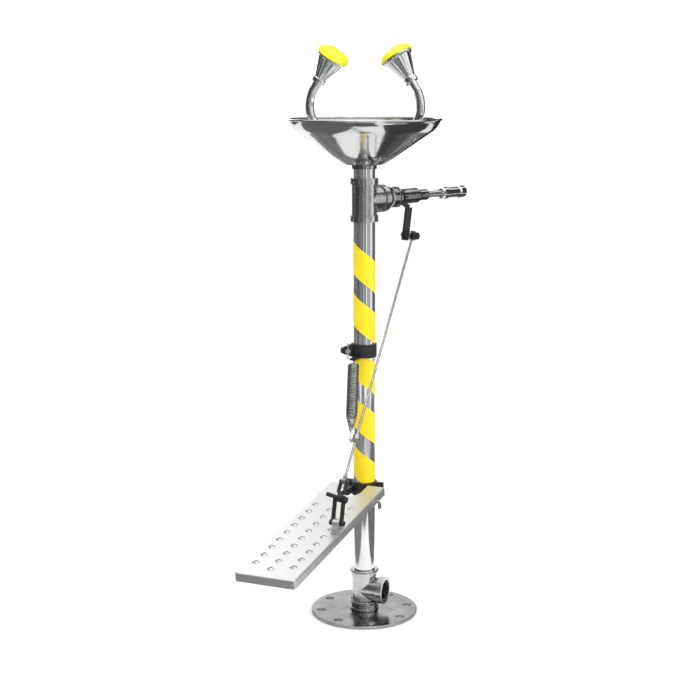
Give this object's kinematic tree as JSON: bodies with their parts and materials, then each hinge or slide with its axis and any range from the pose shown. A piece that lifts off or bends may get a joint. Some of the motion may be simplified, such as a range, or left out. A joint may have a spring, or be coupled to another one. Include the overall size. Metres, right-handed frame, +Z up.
{
  "type": "eyewash station",
  "caption": "Pedestal eyewash station: steel bowl on a pole with capped spray heads, opened by a foot treadle through a rod, lever and ball valve.",
  "frame": {"origin": "centre of the round base flange's underside, on the floor", "axes": "+Z up the pole; the user stands at -Y, where the treadle's near end is; +X is the user's right and the waste outlet's side"},
  "size_m": [0.2984, 0.7202, 1.1298],
  "materials": {
    "polished_steel": "polished",
    "brushed_steel": "fine brushed",
    "chrome": "polished chrome",
    "black_coat": "satin black",
    "zinc_hardware": "dull zinc",
    "yellow_cap": "gloss",
    "yellow_tape": "satin film",
    "rubber": "matt",
    "seat_plastic": "matt",
    "spray_plastic": "matt"
  },
  "bodies": {
    "stand": {"base_flange": "polished_steel", "drain_tee": "polished_steel", "main_pipe": "polished_steel", "supply_tee": "polished_steel", "marking_tape": "yellow_tape", "bowl": "polished_steel", "bowl_waste": "polished_steel", "bowl_gasket": "rubber", "bowl_locknut": "brushed_steel", "drain_strainer": "polished_steel", "supply_riser": "polished_steel", "nozzle_manifold": "chrome", "arm_nuts": "chrome", "filter_screens": "chrome", "spray_plates": "spray_plastic", "branch_bush": "polished_steel", "union_tail": "polished_steel", "union_end": "polished_steel", "union_nut": "polished_steel", "valve_body": "polished_steel", "valve_seals": "seat_plastic", "valve_end_cap": "polished_steel", "packing_nut": "polished_steel", "inlet_adapter": "polished_steel", "inlet_pipe": "polished_steel", "inlet_coupling": "chrome", "hinge_clamp_front": "black_coat", "hinge_clamp_rear": "black_coat", "clamp_bolts": "zinc_hardware", "pivot_rod": "brushed_steel", "pivot_sleeves": "brushed_steel", "pivot_clip": "brushed_steel", "spring_clamp": "black_coat", "spring_clamp_bolt": "zinc_hardware", "wing_nut": "zinc_hardware", "return_spring": "zinc_hardware", "nozzle_arm_left": "chrome", "nozzle_cone_left": "chrome", "nozzle_arm_right": "chrome", "nozzle_cone_right": "chrome"},
    "pedal": {"pedal_plate": "brushed_steel", "pedal_lug": "brushed_steel", "link_bars": "black_coat", "lug_bolt": "zinc_hardware", "fork_pin": "zinc_hardware"},
    "rod": {"rod_fork": "black_coat", "cross_pin": "brushed_steel", "pull_rod": "brushed_steel", "rod_nut": "zinc_hardware", "spring_collar": "zinc_hardware"},
    "lever": {"valve_ball": "chrome", "valve_stem": "chrome", "lever_arm": "black_coat", "lever_spacers": "black_coat", "lever_nuts": "zinc_hardware", "rod_bolt": "zinc_hardware", "bolt_washers": "zinc_hardware"},
    "spring_hook": {"spring_link": "zinc_hardware"},
    "cap_left": {"dust_cap_left": "yellow_cap"},
    "cap_right": {"dust_cap_right": "yellow_cap"}
  },
  "joints": [
    {"name": "pedal_hinge", "type": "hinge", "parent": "stand", "child": "pedal", "pos_m": [0, -0.08281, 0.25956], "axis": [1, 0, 0], "range_deg": [0, 13], "stiffness_Nm_per_rad": 8, "springref_deg": -18.33},
    {"name": "rod_swing", "type": "hinge", "parent": "pedal", "child": "rod", "pos_m": [0.048, -0.232, 0.306], "axis": [0.9792, 0, -0.2028], "range_deg": [-11, 0]},
    {"name": "valve_turn", "type": "hinge", "parent": "stand", "child": "lever", "pos_m": [0.0442, 0.10941, 0.835], "axis": [-0.9272, 0.3746, 0], "range_deg": [0, 24]},
    {"name": "spring_stretch", "type": "slide", "parent": "stand", "child": "spring_hook", "axis": [-0.0911, -0.3662, -0.9261], "range_m": [0, 0.0338], "deforming": ["return_spring"]},
    {"name": "cap_left_lift", "type": "slide", "parent": "stand", "child": "cap_left", "axis": [0.5446, 0, 0.8387], "range_m": [0, 0.03]},
    {"name": "cap_right_lift", "type": "slide", "parent": "stand", "child": "cap_right", "axis": [-0.5446, 0, 0.8387], "range_m": [0, 0.03]}
  ],
  "couplings": [
    {"joint": "rod_swing", "follows": "pedal_hinge", "ratio": -0.76055},
    {"joint": "valve_turn", "follows": "pedal_hinge", "ratio": 1.8},
    {"joint": "spring_stretch", "follows": "pedal_hinge", "m_per_rad": 0.14459}
  ]
}
